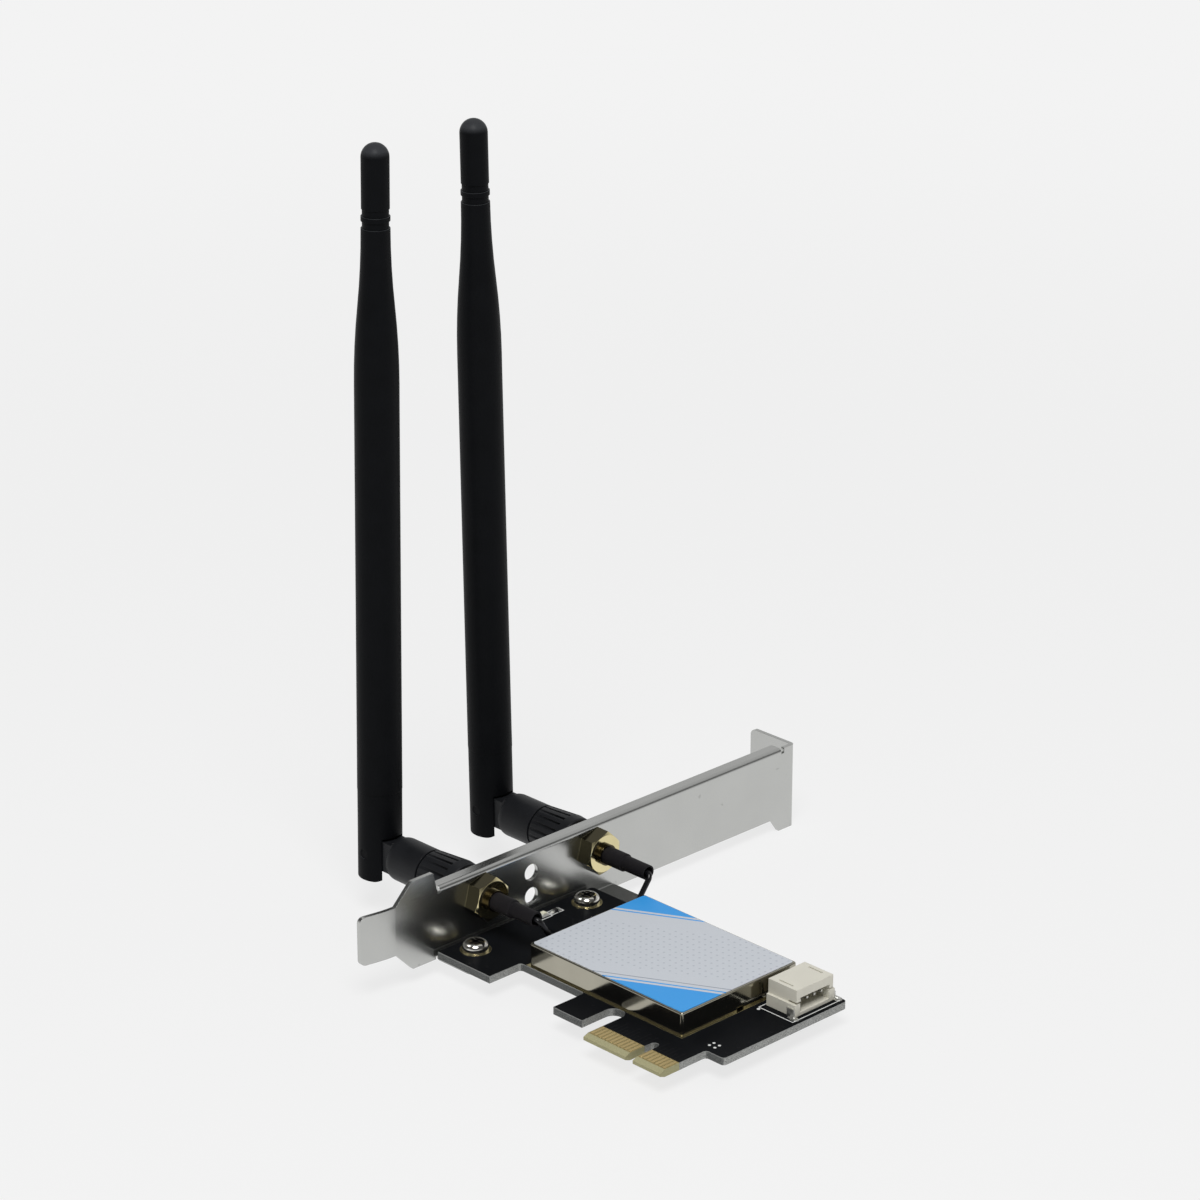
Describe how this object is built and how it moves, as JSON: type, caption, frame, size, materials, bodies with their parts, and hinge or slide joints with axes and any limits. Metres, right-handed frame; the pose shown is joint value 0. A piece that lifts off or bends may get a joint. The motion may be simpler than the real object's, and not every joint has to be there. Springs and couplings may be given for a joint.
{
  "type": "plug-in radio network card",
  "caption": "Plug-in radio network card: shielded board on a folded slot bracket, with screw-on whip antennas that swivel and tilt on forked hinges.",
  "frame": {"origin": "centre of the key notch on the contact edge, at the component face of the board", "axes": "+X up the card from the contact edge to the bracket's screw tab, +Y from the board through the bracket to the antennas, +Z off the component side, along the raised whips"},
  "size_m": [0.1196, 0.1047, 0.1589],
  "materials": {
    "nickel_steel": "satin nickel plate",
    "solder_mask": "black solder mask",
    "gold_plate": "thin gold plate",
    "tin_plate": "bright tin plate",
    "label_paper": "printed satin label",
    "antenna_plastic": "fine matte black",
    "sleeve_rubber": "matte shrink sleeve",
    "cable_jacket": "gloss black jacket",
    "ivory_nylon": "moulded nylon",
    "white_insulator": "natural white",
    "chip_resin": "matte black",
    "screw_steel": "bright nickel plate",
    "lamp_resin": "clear lens"
  },
  "bodies": {
    "card": {"bracket": "nickel_steel", "bracket_tab": "nickel_steel", "circuit_board": "solder_mask", "contact_fingers_top": "gold_plate", "contact_fingers_bottom": "gold_plate", "screw_pads": "gold_plate", "board_screws": "screw_steel", "shield_ground_pad": "gold_plate", "shield_can": "tin_plate", "shield_label": "label_paper", "radio_chip": "chip_resin", "amplifier_chips": "chip_resin", "clock_crystal": "tin_plate", "filter_parts": "white_insulator", "status_lamp": "lamp_resin", "lamp_resistors": "chip_resin", "header_housing": "ivory_nylon", "header_pins": "tin_plate", "header_tabs": "tin_plate", "left_socket_body": "gold_plate", "left_socket_insulator": "white_insulator", "left_socket_contact": "gold_plate", "left_lock_washer": "gold_plate", "left_socket_nut": "gold_plate", "left_crimp_collar": "gold_plate", "left_cable_sleeve": "sleeve_rubber", "left_pigtail": "cable_jacket", "left_board_socket": "gold_plate", "left_pigtail_plug": "gold_plate", "right_socket_body": "gold_plate", "right_socket_insulator": "white_insulator", "right_socket_contact": "gold_plate", "right_lock_washer": "gold_plate", "right_socket_nut": "gold_plate", "right_crimp_collar": "gold_plate", "right_cable_sleeve": "sleeve_rubber", "right_pigtail": "cable_jacket", "right_board_socket": "gold_plate", "right_pigtail_plug": "gold_plate"},
    "left_antenna_plug": {"left_plug_shell": "gold_plate", "left_plug_insulator": "white_insulator", "left_plug_pin": "gold_plate"},
    "left_antenna_nut": {"left_coupling_nut": "antenna_plastic"},
    "left_antenna_barrel": {"left_barrel": "antenna_plastic"},
    "left_antenna_whip": {"left_knuckle": "antenna_plastic", "left_hinge_pin": "antenna_plastic", "left_whip_sheath": "antenna_plastic", "left_radiator": "gold_plate"},
    "right_antenna_plug": {"right_plug_shell": "gold_plate", "right_plug_insulator": "white_insulator", "right_plug_pin": "gold_plate"},
    "right_antenna_nut": {"right_coupling_nut": "antenna_plastic"},
    "right_antenna_barrel": {"right_barrel": "antenna_plastic"},
    "right_antenna_whip": {"right_knuckle": "antenna_plastic", "right_hinge_pin": "antenna_plastic", "right_whip_sheath": "antenna_plastic", "right_radiator": "gold_plate"}
  },
  "joints": [
    {"name": "left_unscrew", "type": "slide", "parent": "card", "child": "left_antenna_plug", "axis": [0, 1, 0], "range_m": [0, 0.00635]},
    {"name": "left_nut_turn", "type": "hinge", "parent": "left_antenna_plug", "child": "left_antenna_nut", "pos_m": [0.01595, 0.05745, 0.008], "axis": [0, 1, 0], "range_deg": [0, 3241]},
    {"name": "left_swivel", "type": "hinge", "parent": "left_antenna_plug", "child": "left_antenna_barrel", "pos_m": [0.01595, 0.05745, 0.008], "axis": [0, -1, 0], "range_deg": [0, 180]},
    {"name": "left_tilt", "type": "hinge", "parent": "left_antenna_barrel", "child": "left_antenna_whip", "pos_m": [0.01595, 0.08745, 0.008], "axis": [-0.9999, 0, 0.0166], "range_deg": [0, 90]},
    {"name": "right_unscrew", "type": "slide", "parent": "card", "child": "right_antenna_plug", "axis": [0, 1, 0], "range_m": [0, 0.00635]},
    {"name": "right_nut_turn", "type": "hinge", "parent": "right_antenna_plug", "child": "right_antenna_nut", "pos_m": [0.04635, 0.05745, 0.008], "axis": [0, 1, 0], "range_deg": [0, 3241]},
    {"name": "right_swivel", "type": "hinge", "parent": "right_antenna_plug", "child": "right_antenna_barrel", "pos_m": [0.04635, 0.05745, 0.008], "axis": [0, 1, 0], "range_deg": [0, 180]},
    {"name": "right_tilt", "type": "hinge", "parent": "right_antenna_barrel", "child": "right_antenna_whip", "pos_m": [0.04635, 0.08745, 0.008], "axis": [-0.9998, 0, -0.0201], "range_deg": [0, 90]}
  ],
  "couplings": [
    {"joint": "left_nut_turn", "follows": "left_unscrew", "rad_per_m": 8905.3},
    {"joint": "right_nut_turn", "follows": "right_unscrew", "rad_per_m": 8905.3}
  ]
}
